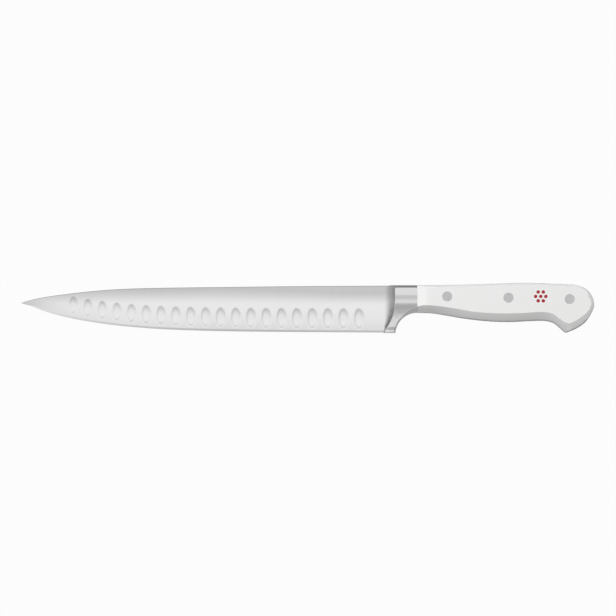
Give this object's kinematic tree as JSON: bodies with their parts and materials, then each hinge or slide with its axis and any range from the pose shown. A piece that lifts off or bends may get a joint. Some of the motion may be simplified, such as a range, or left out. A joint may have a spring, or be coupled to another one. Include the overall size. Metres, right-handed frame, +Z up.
{
  "type": "kitchen knife",
  "caption": "Slicing knife with a hollow-edge blade, a forged bolster with heel guard, and a full tang between white riveted scales.",
  "frame": {"origin": "middle of the underside of the bounding box, on the surface that the knife lies on", "axes": "+X from the tip to the butt, +Y from the cutting edge to the spine, +Z up from the right side to the left side"},
  "size_m": [0.3568, 0.0314, 0.017],
  "materials": {
    "blade_steel": "fine satin grinding across the blade, polished bolster",
    "scale_plastic": "smooth white acetal with a soft sheen",
    "rivet_steel": "ground flush with the scales",
    "inlay_plastic": "smooth white, flush with the scale",
    "dot_plastic": "smooth red, flush with the disc"
  },
  "bodies": {
    "root": {"blade": "blade_steel", "left_scale": "scale_plastic", "right_scale": "scale_plastic", "front_rivet_socket": "rivet_steel", "front_rivet_pin": "rivet_steel", "middle_rivet_socket": "rivet_steel", "middle_rivet_pin": "rivet_steel", "rear_rivet_socket": "rivet_steel", "rear_rivet_pin": "rivet_steel", "inlay_disc": "inlay_plastic", "inlay_dots": "dot_plastic"}
  },
  "joints": []
}
